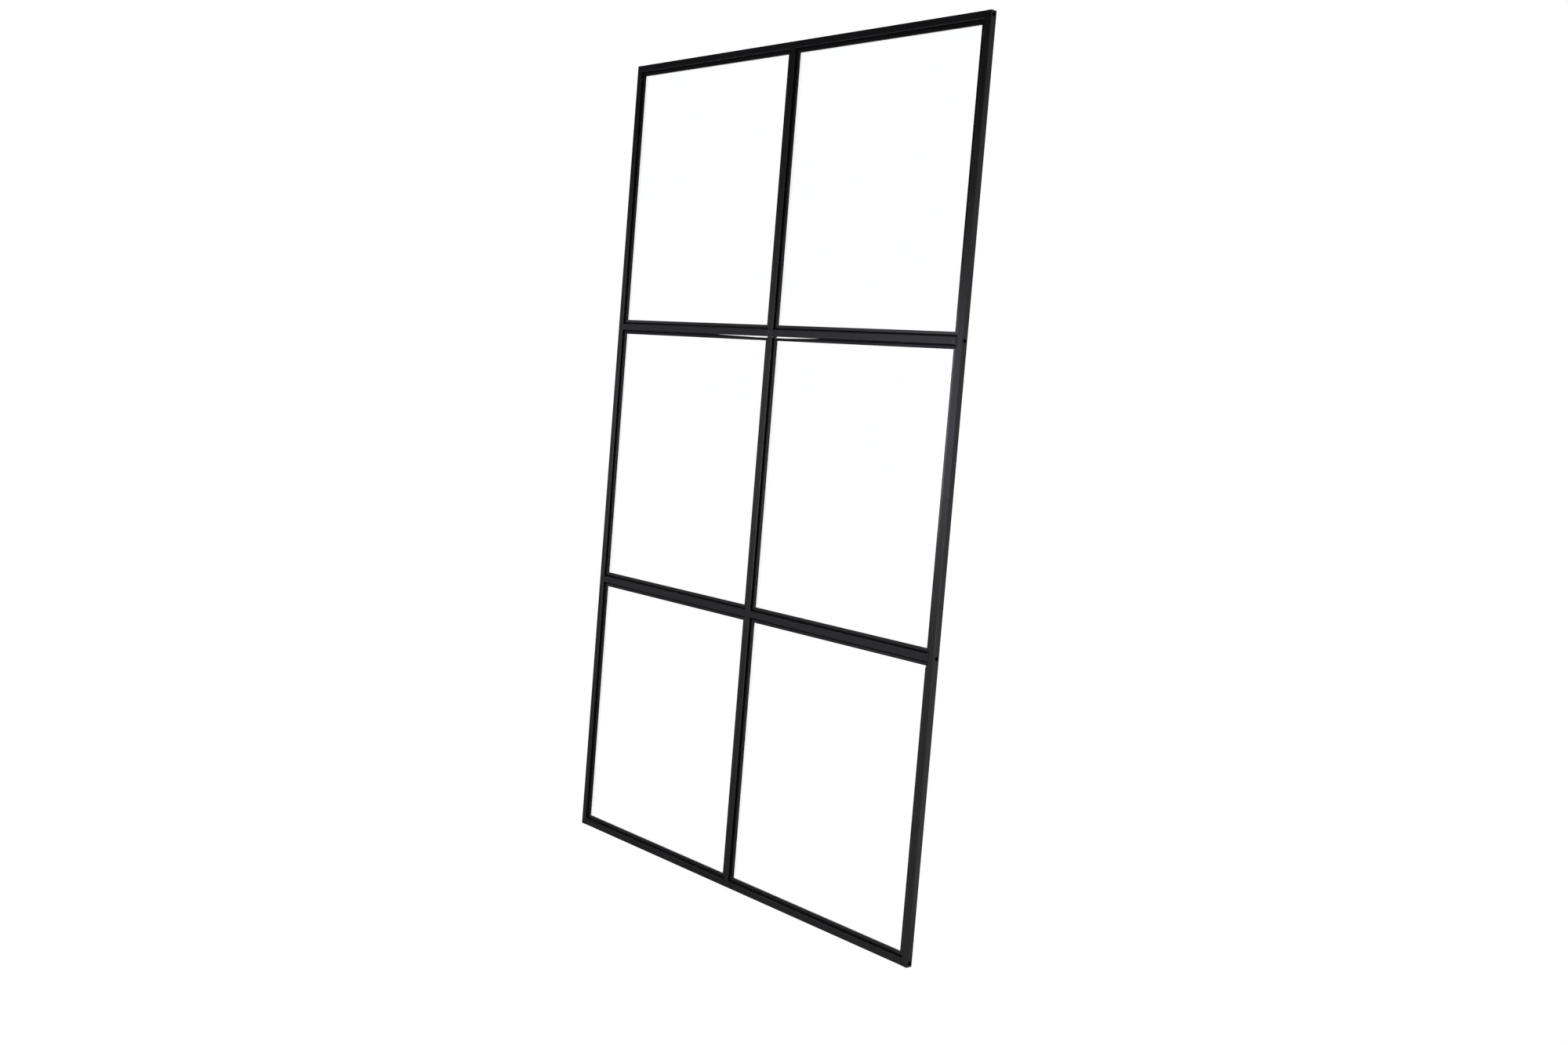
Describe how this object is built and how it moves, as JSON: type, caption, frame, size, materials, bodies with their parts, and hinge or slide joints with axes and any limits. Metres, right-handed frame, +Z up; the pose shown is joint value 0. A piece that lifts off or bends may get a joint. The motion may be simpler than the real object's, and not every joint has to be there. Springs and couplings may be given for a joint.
{
  "type": "interior glass partition",
  "caption": "Fixed interior glass partition with a slim black square-tube frame, rows of clear panes and slim glazing bars standing off the tubes.",
  "frame": {"origin": "underside of the bottom rail, at the middle of the partition's width and of its depth", "axes": "+X along the width, towards the viewer's right when facing the front; +Y from the front, where the glazing bars are, to the back; +Z up"},
  "size_m": [1.44, 0.02, 2.4],
  "materials": {
    "black_powder_coat": "satin black powder coat on steel",
    "clear_glass": "clear polished float glass",
    "glazing_rubber": "matt black rubber",
    "screw_steel": "blackened steel",
    "plug_steel": "plain turned steel",
    "cap_plastic": "matt black moulded plastic"
  },
  "bodies": {
    "root": {"assembly_screws": "screw_steel", "bottom_rail": "black_powder_coat", "bottom_rail_bars": "black_powder_coat", "glass_lower_left": "clear_glass", "glass_lower_right": "clear_glass", "glass_middle_left": "clear_glass", "glass_middle_right": "clear_glass", "glass_upper_left": "clear_glass", "glass_upper_right": "clear_glass", "left_stile": "black_powder_coat", "left_stile_bars": "black_powder_coat", "lower_transom": "black_powder_coat", "lower_transom_bottom_bars": "black_powder_coat", "lower_transom_top_bars": "black_powder_coat", "mullion_left_bars": "black_powder_coat", "mullion_lower": "black_powder_coat", "mullion_middle": "black_powder_coat", "mullion_right_bars": "black_powder_coat", "mullion_upper": "black_powder_coat", "rail_end_plugs": "plug_steel", "right_stile": "black_powder_coat", "right_stile_bars": "black_powder_coat", "rubber_lower_left": "glazing_rubber", "rubber_lower_right": "glazing_rubber", "rubber_middle_left": "glazing_rubber", "rubber_middle_right": "glazing_rubber", "rubber_upper_left": "glazing_rubber", "rubber_upper_right": "glazing_rubber", "stile_end_caps": "cap_plastic", "top_rail": "black_powder_coat", "top_rail_bars": "black_powder_coat", "upper_transom": "black_powder_coat", "upper_transom_bottom_bars": "black_powder_coat", "upper_transom_top_bars": "black_powder_coat"}
  },
  "joints": []
}
